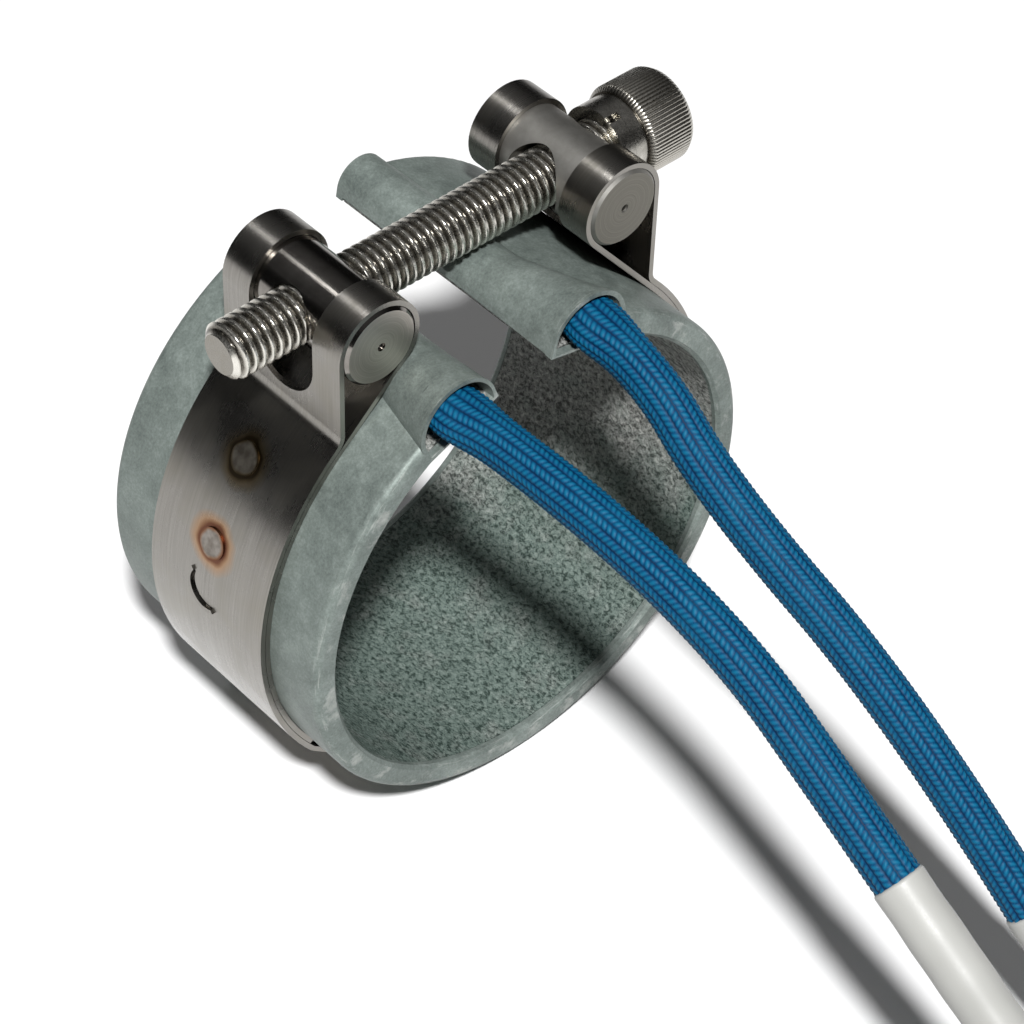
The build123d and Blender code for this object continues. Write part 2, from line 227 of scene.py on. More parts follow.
# Pin ferrule: a collar on the wire's end and a round-tipped pin; tip is in pin radii
ferrule = {"collarR": 0.0015, "collarLen": 0.003, "pinR": 0.0009, "pinLen": 0.009, "columns": 40,
           "tuck": 0.0004, "flare": 0.00012, "chamfer": 0.0002, "shoulder": 0.0009, "groove": 0.0006,
           "root": 0.0005, "pinRows": 24, "tip": 0.7, "tipRows": 8, "blunt": 0.05}


def makeFerrule(side, line, wireEnd, whole):
    # A profile of lengths and radii carried round the route, with a cosine for the tip
    big, small, flare = ferrule["collarR"], ferrule["pinR"], ferrule["flare"]
    first, last = wireEnd - ferrule["tuck"], wireEnd + ferrule["collarLen"]
    collar = np.array([(first, big - flare), (first + ferrule["chamfer"], big),
                       (last - ferrule["shoulder"], big), (last - ferrule["groove"], big - flare),
                       (last, small + flare), (last + ferrule["chamfer"], small)])
    tip = small * ferrule["tip"]
    pin = np.linspace(last + ferrule["root"], whole - tip, ferrule["pinRows"])
    cap = np.linspace(0, np.pi / 2, ferrule["tipRows"])[1:]
    stations = np.concatenate([collar[:, 0], pin, whole - tip * (1 - np.sin(cap))])
    profile = np.concatenate([collar[:, 1], np.full(len(pin), small),
                              small * np.maximum(np.cos(cap), ferrule["blunt"])])
    return addShells(side + "PinFerrule", [roundTube(line, stations, profile, ferrule["columns"])])


# Wire inside the sleeves
wire = {"radius": 0.0009, "columns": 20, "start": 0.0001, "rows": 120}


def makeWire(side, line, wireEnd):
    # A plain tube from just inside the crimp to the ferrule
    stations = np.linspace(wire["start"], wireEnd, wire["rows"])
    profile = np.full(wire["rows"], wire["radius"])
    return addShells(side + "LeadWire", [roundTube(line, stations, profile, wire["columns"])])


def makeLead(side, spec):
    # The four pieces of one lead, all carried along the same route
    line = lineOf(side + "Route", np.array(spec["route"]))
    whole = lengthsOf(line)[-1]
    wireEnd = whole - ferrule["collarLen"] - ferrule["pinLen"]
    sleeve = makeBraid(side, spec, line)
    white = makeWhiteSleeve(side, spec, line, wireEnd)
    pin = makeFerrule(side, line, wireEnd, whole)
    core = makeWire(side, line, wireEnd)
    for piece, slot, node in [(sleeve, "blue_braid", "lead_sleeve"), (white, "white_sleeve", "end_sleeve"),
                              (pin, "pin_metal", "pin_ferrule"), (core, "wire_jacket", "lead_wire")]:
        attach(piece, "band")
        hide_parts(side + "_" + node)
    return {"blue_braid": sleeve, "white_sleeve": white, "pin_metal": pin, "wire_jacket": core}


leadPieces = [makeLead(side, spec) for side, spec in leads.items()]
print("leads made")


# Clamp screw along X: rolled thread, knurled head and hexagon socket. Painted shade and highlight go to the
# material's height attribute.
screw = {"tip": -0.0262, "under": 0.0238, "y": -0.0005, "z": 0.03179, "columns": 72,
         "major": 0.00296, "depth": 0.00054, "pitch": 0.001, "perPitch": 18, "flank": 0.4,
         "point": 0.0009, "pointSlope": 1.1, "tipShade": 0.25,
         "runOut": 0.0012, "runOutRidge": 0.45, "intoHead": 0.0003}

# Its head; pairs are the distance from the nearer face and the distance from the radius
head = {"radius": 0.005, "length": 0.006, "knurls": 76, "perKnurl": 6, "knurlDepth": 0.00011, "knurlRound": 0.7,
        "seatR": 0.0045, "seatEdge": (0.0004, 0.0002), "knurlFrom": 0.0006, "knurlTo": 0.0009,
        "shoulder": (0.0006, 0.0003), "rounding": (0.0002, 0.00042), "faceEdge": 0.0008,
        "mouthR": 0.0031, "mouthEdge": (0.00005, 0.00012), "socket": 0.0025, "socketTop": 0.0003,
        "socketDepth": 0.003, "drillDepth": 0.0004, "drillShare": 0.45,
        "knurlShade": (0.3, 0.35), "faceShade": 0.8}


def alongX(x, radius, angles):
    # Rings about the screw axis, going towards +X
    y = screw["y"] + radius * np.cos(angles)[None, :]
    z = screw["z"] + radius * np.sin(angles)[None, :]
    return np.stack([np.broadcast_to(x, radius.shape), y, z], -1)


def threadShell():
    # A helical ridge, eased on its flanks, that fades under the head and is cut to a cone at the tip
    angles = turns(screw["columns"])
    length = screw["under"] - screw["tip"] + screw["intoHead"]
    x = screw["tip"] + np.linspace(0, length, int(length / screw["pitch"] * screw["perPitch"]))
    phase = (x[:, None] / screw["pitch"] - angles[None, :] / (2 * np.pi)) % 1.0
    flank = np.clip((0.5 - np.abs(phase - 0.5)) / screw["flank"], 0, 1)
    ridge = flank * flank * (3 - 2 * flank)
    runOut = np.clip((screw["under"] - x) / screw["runOut"], 0, 1)[:, None]
    ridge = screw["runOutRidge"] + (ridge - screw["runOutRidge"]) * runOut
    radius = screw["major"] - screw["depth"] * (1 - ridge)
    taper = screw["major"] - screw["point"] + (x - screw["tip"])[:, None] * screw["pointSlope"]
    shell = alongX(x[:, None], np.minimum(radius, taper), angles)
    ridge[0] = screw["tipShade"]
    return shell, ridge


def headShell():
    # Rings from the seat over the knurled side to the face and down the socket, a hexagon in polar form
    columns = head["perKnurl"] * head["knurls"]
    angles = turns(columns)
    groove = np.abs(np.sin(angles * head["knurls"] / 2)) ** head["knurlRound"]
    six = head["socket"] / np.cos((angles + np.pi / 6) % (np.pi / 3) - np.pi / 6)
    under, top, big = screw["under"], screw["under"] + head["length"], head["radius"]
    plain = np.ones(columns)
    rim = big - head["knurlDepth"] * (1 - groove)
    seat, shoulder, rounding, mouth = (head[key] for key in ("seatEdge", "shoulder", "rounding", "mouthEdge"))
    rows = [(under, head["seatR"] * plain),
            (under + seat[0], 0.5 * (rim + big - seat[1])),
            (under + head["knurlFrom"], rim),
            (top - head["knurlTo"], rim),
            (top - shoulder[0], 0.5 * (rim + big - shoulder[1])),
            (top - rounding[0], (big - rounding[1]) * plain),
            (top, (big - head["faceEdge"]) * plain),
            (top, head["mouthR"] * plain),
            (top - mouth[0], six + mouth[1]),
            (top - head["socketTop"], six),
            (top - head["socketDepth"], six),
            (top - head["socketDepth"] - head["drillDepth"], six * head["drillShare"])]
    x = np.array([row[0] for row in rows])[:, None]
    radius = np.stack([row[1] for row in rows])
    # Painted shade: the seat and socket rows stay at 0, the darkest, and the knurl valleys get less than the knurl
    # ridges
    shade = np.zeros((len(rows), columns))
    shade[1:5] = head["knurlShade"][0] + head["knurlShade"][1] * groove  # knurled rows
    shade[5:9] = head["faceShade"]
    return alongX(x, radius, angles), shade


def makeScrew():
    (thread, ridge), (cap, shade) = threadShell(), headShell()
    piece = addShells("threadedScrew", [thread, cap], [ridge, shade], sharp=30)
    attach(piece, "screw")
    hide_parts("clamp_screw")
    return piece


screwPiece = makeScrew()
print("screw made")


# Materials. Lengths in the node trees are millimetres of the object's own coordinates, apart from the bumps' metres.
# Colours are display values 0-255, and a noise is its scale, detail and roughness.
millimetres = 1000.0
noiseSpan = (0.3, 0.7)  # where nearly all values of a noise lie


class Tree:
    def __init__(self, name):
        self.material = bpy.data.materials.new(name)
        self.material.use_nodes = True
        self.nodes = self.material.node_tree.nodes
        self.links = self.material.node_tree.links
        self.shader = self.nodes["Principled BSDF"]
        self.place = self.vector("SCALE", self.add("ShaderNodeTexCoord").outputs["Object"], millimetres)

    def add(self, kind, **settings):
        node = self.nodes.new(kind)
        for key, value in settings.items():
            setattr(node, key, value)
        return node

    def put(self, socket, value):
        # Links an output, or sets a plain value
        if hasattr(value, "is_output"):
            self.links.new(value, socket)
        elif value is not None:
            socket.default_value = value

    def vector(self, operation, a, b=None):
        node = self.add("ShaderNodeVectorMath", operation=operation)
        self.put(node.inputs[0], a)
        self.put(node.inputs["Scale"] if operation == "SCALE" else node.inputs[1], b)
        return node.outputs["Value" if operation in ("LENGTH", "DISTANCE") else "Vector"]

    def math(self, operation, a, b=None, clamp=False):
        node = self.add("ShaderNodeMath", operation=operation, use_clamp=clamp)
        for socket, value in zip(node.inputs, (a, b)):
            self.put(socket, value)
        return node.outputs[0]

    def weighted(self, *pairs):
        # Sum of values times their weights
        terms = [self.math("MULTIPLY", value, weight) for value, weight in pairs]
        total = terms[0]
        for term in terms[1:]:
            total = self.math("ADD", total, term)
        return total

    def noise(self, scale, detail, rough, place=None, distortion=0.0):
        node = self.add("ShaderNodeTexNoise")
        self.put(node.inputs["Vector"], place or self.place)
        for key, value in (("Scale", scale), ("Detail", detail), ("Roughness", rough), ("Distortion", distortion)):
            node.inputs[key].default_value = value
        return node.outputs["Fac"]

    def ramp(self, fac, *stops):
        node = self.add("ShaderNodeValToRGB")
        while len(node.color_ramp.elements) < len(stops):
            node.color_ramp.elements.new(1.0)
        for element, (position, colour) in zip(node.color_ramp.elements, stops):
            element.position = position
            element.color = paint(colour)
        self.put(node.inputs[0], fac)
        return node.outputs["Color"]

    def span(self, value, low, high, to0=0.0, to1=1.0):
        # Maps low to high onto to0 to to1, and no further
        node = self.add("ShaderNodeMapRange")
        for socket, number in zip(node.inputs, (value, low, high, to0, to1)):
            self.put(socket, number)
        return node.outputs[0]

    def mix(self, fac, a, b):
        node = self.add("ShaderNodeMix", data_type="RGBA")
        self.put(node.inputs[0], fac)
        self.put(node.inputs[6], a if hasattr(a, "is_output") else paint(a))
        self.put(node.inputs[7], b if hasattr(b, "is_output") else paint(b))
        return node.outputs[2]

    def bump(self, height, strength, distance):
        node = self.add("ShaderNodeBump")
        self.put(node.inputs["Height"], height)
        node.inputs["Strength"].default_value = strength
        node.inputs["Distance"].default_value = distance
        return node.outputs["Normal"]

    def axes(self, place=None):
        node = self.add("ShaderNodeSeparateXYZ")
        self.put(node.inputs[0], place or self.place)
        return node.outputs

    def ring(self, radius, scale):
        # Coordinates that only change with the radius, for turned faces
        node = self.add("ShaderNodeCombineXYZ")
        self.put(node.inputs[0], self.math("MULTIPLY", radius, scale))
        return node.outputs[0]

    def attribute(self, name):
        return self.add("ShaderNodeAttribute", attribute_name=name).outputs["Fac"]

    def normal(self):
        return self.axes(self.add("ShaderNodeNewGeometry").outputs["Normal"])

    def set(self, **values):
        names = {"colour": "Base Color", "metal": "Metallic", "rough": "Roughness", "normal": "Normal",
                 "spec": "Specular IOR Level"}
        for key, value in values.items():
            if key == "colour" and not hasattr(value, "is_output"):
                value = paint(value)
            self.put(self.shader.inputs[names[key]], value)
        return self.material


def paint(colour):
    # Display values turned into linear light; a single number is a plain grey fraction
    if isinstance(colour, (int, float)):
        return (colour, colour, colour, 1.0)
    part = np.array(colour, float) / 255
    linear = np.where(part <= 0.04045, part / 12.92, ((part + 0.055) / 1.055) ** 2.4)
    return (*linear.tolist(), 1.0)


# Zinc-coated casing: three sizes of mottle, and a front rim paler in streaks
zinc = {"dark": (0.38, (98, 107, 103)), "mid": (0.5, (122, 132, 127)), "pale": (0.63, (148, 158, 153)),
        "cloud": (0.16, 3.0, 0.55), "cloudTwist": 0.4, "blotch": (0.75, 5.0, 0.68), "grain": (3.6, 4.0, 0.75),
        "cloudShare": 0.34, "blotchShare": 0.28, "grainShare": 0.38,
        "paleRimStreak": (206, 208, 203), "paleRimStreakShare": 0.6, "rimY": (-14.9, -15.8),
        "streak": (1.0, 4.0, 0.7), "streakStretch": (0.35, 5.0, 0.35), "streakSpan": (0.54, 0.72),
        "metal": 0.3, "spec": 0.35, "rough": 0.5, "roughSpread": 0.08,
        "cloudHeight": 1.6, "grainHeight": 0.06, "bump": (0.3, 0.00025)}


def zincSheet():
    t = Tree("zincSheet")
    cloud = t.noise(*zinc["cloud"], distortion=zinc["cloudTwist"])
    blotch = t.noise(*zinc["blotch"])
    grain = t.noise(*zinc["grain"])
    mottle = t.weighted((cloud, zinc["cloudShare"]), (blotch, zinc["blotchShare"]), (grain, zinc["grainShare"]))
    colour = t.ramp(mottle, zinc["dark"], zinc["mid"], zinc["pale"])
    streak = t.noise(*zinc["streak"], t.vector("MULTIPLY", t.place, zinc["streakStretch"]))
    # The front rim is made paler in streaks
    rim = t.span(t.axes()[1], *zinc["rimY"])
    paleRimStreak = t.math("MULTIPLY", rim, t.span(streak, *zinc["streakSpan"]), clamp=True)
    colour = t.mix(t.math("MULTIPLY", paleRimStreak, zinc["paleRimStreakShare"]), colour, zinc["paleRimStreak"])
    rough = t.span(blotch, *noiseSpan, zinc["rough"] - zinc["roughSpread"], zinc["rough"] + zinc["roughSpread"])
    height = t.weighted((cloud, zinc["cloudHeight"]), (grain, zinc["grainHeight"]))
    return t.set(colour=colour, metal=zinc["metal"], rough=rough, spec=zinc["spec"],
                 normal=t.bump(height, *zinc["bump"]))


# Bore liner: greenish and fibrous low down, greyer higher up and paler there as painted light, with a ragged change
# between
liner = {"low": (106, 122, 115), "lowDark": (42, 58, 52), "lowPale": (138, 151, 144),
         "high": (147, 148, 144), "highDark": (66, 67, 64), "highPale": (204, 204, 199),
         "fibre": (2.1, 5.0, 0.78), "fibreStretch": (1.3, 0.8, 1.0), "fibreTwist": 0.5,
         "darkSpan": (0.5, 0.42), "paleSpan": (0.53, 0.63),
         "changeZ": (-19.0, -6.0), "changeLean": 0.5, "ragged": (0.3, 3.0, 0.6), "raggedBy": 0.3,
         "metal": 0.15, "rough": 0.55, "bump": (0.55, 0.0004)}


def linerSheet():
    t = Tree("linerSheet")
    y, z = t.axes()[1:3]
    ragged = t.noise(*liner["ragged"])
    fibre = t.noise(*liner["fibre"], t.vector("MULTIPLY", t.place, liner["fibreStretch"]), liner["fibreTwist"])
    dark, pale = t.span(fibre, *liner["darkSpan"]), t.span(fibre, *liner["paleSpan"])
    low = t.mix(pale, t.mix(dark, liner["low"], liner["lowDark"]), liner["lowPale"])
    high = t.mix(pale, t.mix(dark, liner["high"], liner["highDark"]), liner["highPale"])
    # Painted light: the high colours are paler than the low ones, besides being greyer
    level = t.math("ADD", z, t.math("MULTIPLY", y, liner["changeLean"]))
    where = t.math("ADD", t.span(level, *liner["changeZ"]),
                   t.span(ragged, *noiseSpan, -liner["raggedBy"], liner["raggedBy"]), clamp=True)
    return t.set(colour=t.mix(where, low, high), metal=liner["metal"], rough=liner["rough"],
                 normal=t.bump(fibre, *liner["bump"]))


# Stainless strap: brushed along its length, a little stained
strap = {"steel": (146, 143, 138), "dull": (133, 130, 125), "lines": (1.0, 3.0, 0.6),
         "linesStretch": (0.1, 5.0, 0.1), "linesHeight": 0.25,
         "smear": (0.22, 3.0, 0.5), "stain": (140, 135, 120), "stainSpan": (0.45, 0.75), "stainShare": 0.3,
         "rough": 0.27, "linesRough": 0.02, "smearRough": (-0.03, 0.06), "bump": (0.1, 0.0001)}

# Its spot welds: angles from the top, then nugget, ring and halo as distances from the middle; the high ones are
# darker as painted shade, over heat tint that is the strap's own
weld = {"angles": [-73.0, -54.0, 54.0, 73.0], "radius": 29.3, "y": -0.5, "highZ": (11.0, 14.5),
        "uneven": (0.45, 1.0, 0.4), "unevenBy": 0.2,
        "halo": (2.0, 3.5), "haloShare": 0.8, "ringOut": (2.55, 2.05), "ringIn": (1.3, 1.85), "ringShare": 0.92,
        "nugget": (1.75, 1.4), "nuggetShare": 0.9, "nuggetHeight": 3.0, "rough": 0.12,
        "speckle": (1.1, 2.0, 0.5), "speckleSpan": (0.35, 0.65),
        "lowHalo": (170, 122, 68), "lowRing": (98, 60, 46), "lowNugget": ((112, 110, 106), (148, 146, 142)),
        "highHalo": (122, 100, 50), "highRing": (36, 27, 18), "highNugget": ((94, 90, 84), (128, 124, 117))}


def weldDistance(t):
    # Distance to the nearest weld, made a little uneven
    near = None
    for angle in weld["angles"]:
        turn = math.radians(angle)
        spot = (weld["radius"] * math.sin(turn), weld["y"], weld["radius"] * math.cos(turn))
        gap = t.vector("DISTANCE", t.place, spot)
        near = gap if near is None else t.math("MINIMUM", near, gap)
    return t.math("ADD", near, t.span(t.noise(*weld["uneven"]), *noiseSpan, -weld["unevenBy"], weld["unevenBy"]))


def strapSteel():
    t = Tree("strapSteel")
    lines = t.noise(*strap["lines"], t.vector("MULTIPLY", t.place, strap["linesStretch"]))
    smear = t.noise(*strap["smear"])
    colour = t.mix(t.span(lines, *noiseSpan), strap["dull"], strap["steel"])
    colour = t.mix(t.span(smear, *strap["stainSpan"], 0.0, strap["stainShare"]), colour, strap["stain"])
    brushed = (strap["rough"] + strap["linesRough"], strap["rough"] - strap["linesRough"])
    rough = t.math("ADD", t.span(lines, *noiseSpan, *brushed), t.span(smear, *noiseSpan, *strap["smearRough"]))

    near = weldDistance(t)
    # Painted shade: the high welds get a darker halo, ring and nugget than the low ones
    high = t.span(t.axes()[2], *weld["highZ"])
    halo = t.math("MULTIPLY", t.span(near, *weld["halo"], 1.0, 0.0), weld["haloShare"], clamp=True)
    colour = t.mix(halo, colour, t.mix(high, weld["lowHalo"], weld["highHalo"]))
    ring = t.math("MULTIPLY", t.span(near, *weld["ringOut"]), t.span(near, *weld["ringIn"]), clamp=True)
    colour = t.mix(t.math("MULTIPLY", ring, weld["ringShare"]), colour,
                   t.mix(high, weld["lowRing"], weld["highRing"]))
    core = t.span(near, *weld["nugget"])
    speckle = t.noise(*weld["speckle"])
    shades = [t.mix(high, *pair) for pair in zip(weld["lowNugget"], weld["highNugget"])]
    nugget = t.mix(t.span(speckle, *weld["speckleSpan"]), *shades)
    colour = t.mix(t.math("MULTIPLY", core, weld["nuggetShare"], clamp=True), colour, nugget)
    rough = t.math("ADD", rough, t.math("MULTIPLY", t.math("ADD", ring, core), weld["rough"]))
    height = t.weighted((lines, strap["linesHeight"]), (t.math("MULTIPLY", speckle, core), weld["nuggetHeight"]))
    return t.set(colour=colour, metal=1.0, rough=rough, normal=t.bump(height, *strap["bump"]))


# Trunnions: the left one bright and smooth, the right one dull; faces are turned and have a dark centre mark
trunnions = {
    "left": {"x": -14.2, "rough": 0.13, "sides": ((128, 124, 119), (150, 146, 141)),
             "face": ((164, 158, 150), (190, 184, 176))},
    "right": {"x": 16.4, "rough": 0.54, "sides": ((152, 150, 145), (170, 168, 163)),
              "face": ((124, 122, 115), (144, 141, 133))},
}
turnedSteel = {"patchy": (0.5, 4.0, 0.6), "patchyStops": (0.34, 0.66), "faceNormal": (0.8, 0.95), "faceRough": 0.2,
               "rings": (1.0, 3.0, 0.6), "ringsScale": 7.0, "ringsSpan": (0.35, 0.65),
               "mark": (50, 48, 46), "markR": (0.5, 0.3),
               "lines": (1.0, 2.0, 0.5), "linesStretch": (6.0, 0.2, 6.0), "linesHeight": 0.3,
               "bump": (0.15, 0.0001)}


def trunnionSteel(side, spec):
    t = Tree(side + "Trunnion")
    offset = t.vector("SUBTRACT", t.place, (spec["x"], 0.0, screw["z"] * millimetres))
    flat = t.vector("LENGTH", t.vector("MULTIPLY", offset, (1.0, 0.0, 1.0)))  # distance from the trunnion's axis
    face = t.span(t.math("ABSOLUTE", t.normal()[1]), *turnedSteel["faceNormal"])
    colour = t.ramp(t.noise(*turnedSteel["patchy"]), *zip(turnedSteel["patchyStops"], spec["sides"]))
    rings = t.noise(*turnedSteel["rings"], t.ring(flat, turnedSteel["ringsScale"]))
    colour = t.mix(face, colour, t.mix(t.span(rings, *turnedSteel["ringsSpan"]), *spec["face"]))
    mark = t.math("MULTIPLY", t.span(flat, *turnedSteel["markR"]), face)
    colour = t.mix(mark, colour, turnedSteel["mark"])
    lines = t.noise(*turnedSteel["lines"], t.vector("MULTIPLY", t.place, turnedSteel["linesStretch"]))
    height = t.weighted((rings, face), (lines, turnedSteel["linesHeight"]))
    rough = t.math("ADD", t.math("MULTIPLY", face, turnedSteel["faceRough"]), spec["rough"])
    return t.set(colour=colour, metal=1.0, rough=rough, normal=t.bump(height, *turnedSteel["bump"]))


# Screw: painted shade in the thread's roots and painted highlight on its crests
screwFinish = {"root": (0.0, (98, 94, 87)), "flank": (0.45, (162, 158, 150)), "crest": (0.9, (222, 219, 211)),
               "patchy": (0.7, 4.0, 0.6), "stain": (126, 120, 106), "stainSpan": (0.45, 0.75), "stainShare": 0.3,
               "fine": (6.0, 3.0, 0.6), "rough": (0.22, 0.36), "bump": (0.08, 0.0001)}


def screwSteel():
    t = Tree("screwSteel")
    patchy = t.noise(*screwFinish["patchy"])
    fine = t.noise(*screwFinish["fine"])
    # Painted shade in the roots, socket and knurl valleys, painted highlight on the crests, read from the height
    # attribute
    colour = t.ramp(t.attribute("height"), screwFinish["root"], screwFinish["flank"], screwFinish["crest"])
    stained = t.span(patchy, *screwFinish["stainSpan"], 0.0, screwFinish["stainShare"])
    return t.set(colour=t.mix(stained, colour, screwFinish["stain"]), metal=1.0,
                 rough=t.span(fine, *noiseSpan, *screwFinish["rough"]), normal=t.bump(fine, *screwFinish["bump"]))


# Blue braid: painted shade between the beads and painted highlight on their crowns, faded in places, with fine
# fibres that get painted shade where their bump is low
braidFinish = {"groove": (0.15, (0, 36, 68)), "side": (0.5, (0, 66, 106)), "crown": (0.95, (14, 104, 140)),
               "fade": (0.35, 3.0, 0.6), "faded": (24, 114, 148), "fadeSpan": (0.45, 0.7), "fadeShare": 0.15,
               "fibre": (7.0, 3.0, 0.7), "between": (0, 48, 84), "betweenShare": 0.25,
               "rough": 0.5, "spec": 0.15, "bump": (0.25, 0.0001)}


def blueBraid():
    t = Tree("blueBraid")
    fade = t.noise(*braidFinish["fade"])
    fibre = t.noise(*braidFinish["fibre"])
    # Painted shade in the grooves and painted highlight on the crowns, from the bead height
    colour = t.ramp(t.attribute("height"), braidFinish["groove"], braidFinish["side"], braidFinish["crown"])
    faded = t.span(fade, *braidFinish["fadeSpan"], 0.0, braidFinish["fadeShare"])
    colour = t.mix(faded, colour, braidFinish["faded"])
    # Painted shade where the fibre bump is low
    colour = t.mix(t.span(fibre, *noiseSpan, braidFinish["betweenShare"], 0.0), colour, braidFinish["between"])
    return t.set(colour=colour, rough=braidFinish["rough"], spec=braidFinish["spec"],
                 normal=t.bump(fibre, *braidFinish["bump"]))


# White sleeve: nearly even
whiteFinish = {"dim": (0.3, (172, 172, 168)), "pale": (0.7, (183, 183, 179)), "soft": (0.12, 2.0, 0.5),
               "fine": (5.0, 3.0, 0.6), "rough": (0.36, 0.5), "bump": (0.08, 0.0001)}


def whiteSleeve():
    t = Tree("whiteSleeve")
    fine = t.noise(*whiteFinish["fine"])
    colour = t.ramp(t.noise(*whiteFinish["soft"]), whiteFinish["dim"], whiteFinish["pale"])
    return t.set(colour=colour, rough=t.span(fine, *noiseSpan, *whiteFinish["rough"]),
                 normal=t.bump(fine, *whiteFinish["bump"]))


# Plain metals: two shades in patches, and a fine unevenness
plainMetals = {
    "ribbon": {"low": (120, 112, 104), "high": (160, 150, 138), "rough": 0.35},
    "crimpMetal": {"low": (164, 158, 140), "high": (200, 196, 182), "rough": 0.3},
    "pinMetal": {"low": (176, 176, 172), "high": (214, 214, 210), "rough": 0.3},
    "washerSteel": {"low": (150, 147, 140), "high": (196, 193, 186), "rough": 0.26},
}
metalGrain = {"patchy": (0.9, 4.0, 0.6), "lowAt": 0.32, "highAt": 0.68, "fine": (6.3, 3.0, 0.6),
              "smoother": 0.06, "rougher": 0.08, "bump": (0.1, 0.0001)}


def plainMetal(name):
    t = Tree(name)
    spec = plainMetals[name]
    fine = t.noise(*metalGrain["fine"])
    colour = t.ramp(t.noise(*metalGrain["patchy"]), (metalGrain["lowAt"], spec["low"]),
                    (metalGrain["highAt"], spec["high"]))
    rough = t.span(fine, *noiseSpan, spec["rough"] - metalGrain["smoother"], spec["rough"] + metalGrain["rougher"])
    return t.set(colour=colour, metal=1.0, rough=rough, normal=t.bump(fine, *metalGrain["bump"]))


# Mica sheets and card: flakes of different tone
micaFinish = {"flakes": 0.5, "cloud": (0.6, 4.0, 0.6), "dark": (0.1, (150, 124, 84)),
              "pale": (0.6, (214, 192, 150)), "rough": (0.3, 0.5)}


def micaSheet():
    t = Tree("micaSheet")
    flakes = t.add("ShaderNodeTexVoronoi")
    t.put(flakes.inputs["Vector"], t.place)
    flakes.inputs["Scale"].default_value = micaFinish["flakes"]
    cloud = t.noise(*micaFinish["cloud"])
    tone = t.math("MULTIPLY", t.axes(flakes.outputs["Color"])[0], cloud)
    return t.set(colour=t.ramp(tone, micaFinish["dark"], micaFinish["pale"]),
                 rough=t.span(cloud, *noiseSpan, *micaFinish["rough"]))


# Wire jacket: pale weave
jacketFinish = {"weave": (3.0, 3.0, 0.7), "dim": (0.35, (196, 188, 168)), "pale": (0.65, (226, 220, 204)),
                "rough": 0.7, "bump": (0.3, 0.0002)}


def wireJacket():
    t = Tree("wireJacket")
    weave = t.noise(*jacketFinish["weave"])
    return t.set(colour=t.ramp(weave, jacketFinish["dim"], jacketFinish["pale"]), rough=jacketFinish["rough"],
                 normal=t.bump(weave, *jacketFinish["bump"]))


def dress(piece, material):
    piece.data.materials.clear()
    piece.data.materials.append(material)


finishes = {"zinc_sheet": zincSheet(), "liner_sheet": linerSheet(), "mica": micaSheet(),
            "ribbon": plainMetal("ribbon"), "crimp_metal": plainMetal("crimpMetal"), "strap_steel": strapSteel(),
            "screw_steel": screwSteel(), "wire_jacket": wireJacket(), "blue_braid": blueBraid(),
            "white_sleeve": whiteSleeve(), "pin_metal": plainMetal("pinMetal")}
slots = {"outer_casing": "zinc_sheet", "bore_liner": "liner_sheet", "inner_mica": "mica", "element_card": "mica",
         "outer_mica": "mica", "resistance_ribbon": "ribbon", "left_crimp": "crimp_metal",
         "right_crimp": "crimp_metal", "clamp_strap": "strap_steel", "clamp_screw": "screw_steel"}
for side in leads:
    slots.update({side + "_lead_wire": "wire_jacket", side + "_lead_sleeve": "blue_braid",
                  side + "_end_sleeve": "white_sleeve", side + "_pin_ferrule": "pin_metal"})
for node, slot in slots.items():
    dress(nodes[node], finishes[slot])
dress(nodes["threaded_trunnion"], trunnionSteel("left", trunnions["left"]))
dress(nodes["plain_trunnion"], trunnionSteel("right", trunnions["right"]))
dress(nodes["lock_washers"], plainMetal("washerSteel"))
dress(screwPiece, finishes["screw_steel"])
for pieces in leadPieces:
    for slot, piece in pieces.items():
        dress(piece, finishes[slot])
print("materials set")


# Camera at the photo's angle
view = {"azimuth": -43.432, "elevation": 44.92, "roll": 2.069, "distance": 0.331055,
        "target": (0.001726, -0.010546, 0.001161), "lens": 116.28, "sensor": 36.0, "clipStart": 0.01}


def makeCamera():
    a, e, r = (math.radians(view[key]) for key in ("azimuth", "elevation", "roll"))
    back = Vector((math.sin(a) * math.cos(e), -math.cos(a) * math.cos(e), math.sin(e)))
    right = Vector((math.cos(a), math.sin(a), 0.0))
    up = back.cross(right)
    across = math.cos(r) * right + math.sin(r) * up
    upward = math.cos(r) * up - math.sin(r) * right
    data = bpy.data.cameras.new("photoCamera")
    data.sensor_width = view["sensor"]
    data.lens = view["lens"]
    data.clip_start = view["clipStart"]
    camera = bpy.data.objects.new("photoCamera", data)
    scene.collection.objects.link(camera)
    turn = Matrix((across, upward, back)).transposed()
    camera.matrix_world = Matrix.Translation(Vector(view["target"]) + back * view["distance"]) @ turn.to_4x4()
    scene.camera = camera
    return back, across, upward


back, across, upward = makeCamera()
print("camera set")


# Studio: a floor that looks pale and throws back less light, a key light just above the camera, and a weak fill
studio = {"floorSize": 6.0, "floorGap": 0.0001, "floor": 0.95, "table": 0.35, "floorRough": 0.9, "floorSpec": 0.1,
          "key": 31.0, "keySize": 0.12, "keyDistance": 1.5, "keyRight": 0.05, "keyUp": 0.19,
          "fill": 0.5, "fillSize": 0.16, "fillWay": (-0.03, 0.51, 0.86), "fillDistance": 1.0,
          "aim": (0.0, -0.02, 0.0), "sky": ((0.4, 0.012), (0.95, 0.16))}


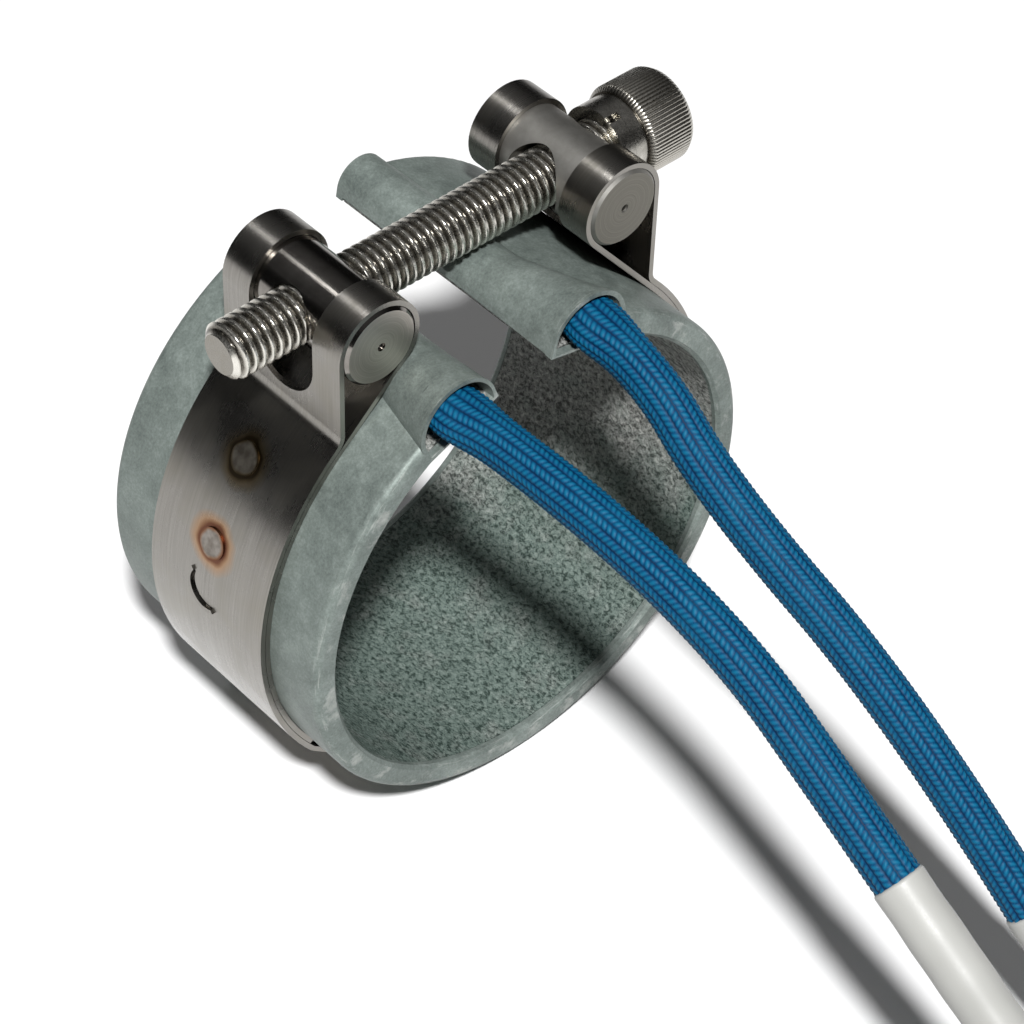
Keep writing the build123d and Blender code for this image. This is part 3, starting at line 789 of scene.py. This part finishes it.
def addLight(name, direction, distance, size, power):
    data = bpy.data.lights.new(name, "AREA")
    data.shape = "DISK"
    data.size = size
    data.energy = power
    light = bpy.data.objects.new(name, data)
    scene.collection.objects.link(light)
    direction = Vector(direction).normalized()
    light.location = Vector(studio["aim"]) + direction * distance
    light.rotation_euler = direction.to_track_quat("Z", "Y").to_euler()
    return light


def addFloor():
    # A square just under the object: "floor" as the camera and reflections see it, "table" for bounced light
    half, low = studio["floorSize"] / 2, cadBox[0][2] - studio["floorGap"]
    corners = [(-half, -half, low), (half, -half, low), (half, half, low), (-half, half, low)]
    mesh = bpy.data.meshes.new("floor")
    mesh.from_pydata(corners, [], [(0, 1, 2, 3)])
    floor = bpy.data.objects.new("floor", mesh)
    scene.collection.objects.link(floor)
    t = Tree("floorWhite")
    rays = t.add("ShaderNodeLightPath").outputs
    direct = t.math("MAXIMUM", rays["Is Camera Ray"],
                    t.math("MAXIMUM", rays["Is Glossy Ray"], rays["Is Transmission Ray"]))
    dress(floor, t.set(colour=t.mix(direct, studio["table"], studio["floor"]), rough=studio["floorRough"],
                       spec=studio["floorSpec"]))
    return floor


def makeSky():
    # Grey by the height of the view: dark low down, lighter overhead
    world = bpy.data.worlds.new("studioWorld")
    scene.world = world
    world.use_nodes = True
    links, worldNodes = world.node_tree.links, world.node_tree.nodes
    coords = worldNodes.new("ShaderNodeTexCoord")
    axes = worldNodes.new("ShaderNodeSeparateXYZ")
    links.new(coords.outputs["Generated"], axes.inputs[0])
    ramp = worldNodes.new("ShaderNodeValToRGB")
    for element, (height, shade) in zip(ramp.color_ramp.elements, studio["sky"]):
        element.position = height
        element.color = paint(shade)
    links.new(axes.outputs[2], ramp.inputs[0])
    links.new(ramp.outputs[0], worldNodes["Background"].inputs["Color"])


def makeStudio():
    floor = addFloor()
    way = back + across * studio["keyRight"] + upward * studio["keyUp"]
    key = addLight("keyLight", way, studio["keyDistance"], studio["keySize"], studio["key"])
    fill = addLight("fillLight", studio["fillWay"], studio["fillDistance"], studio["fillSize"], studio["fill"])
    makeSky()


makeStudio()
print("studio set")
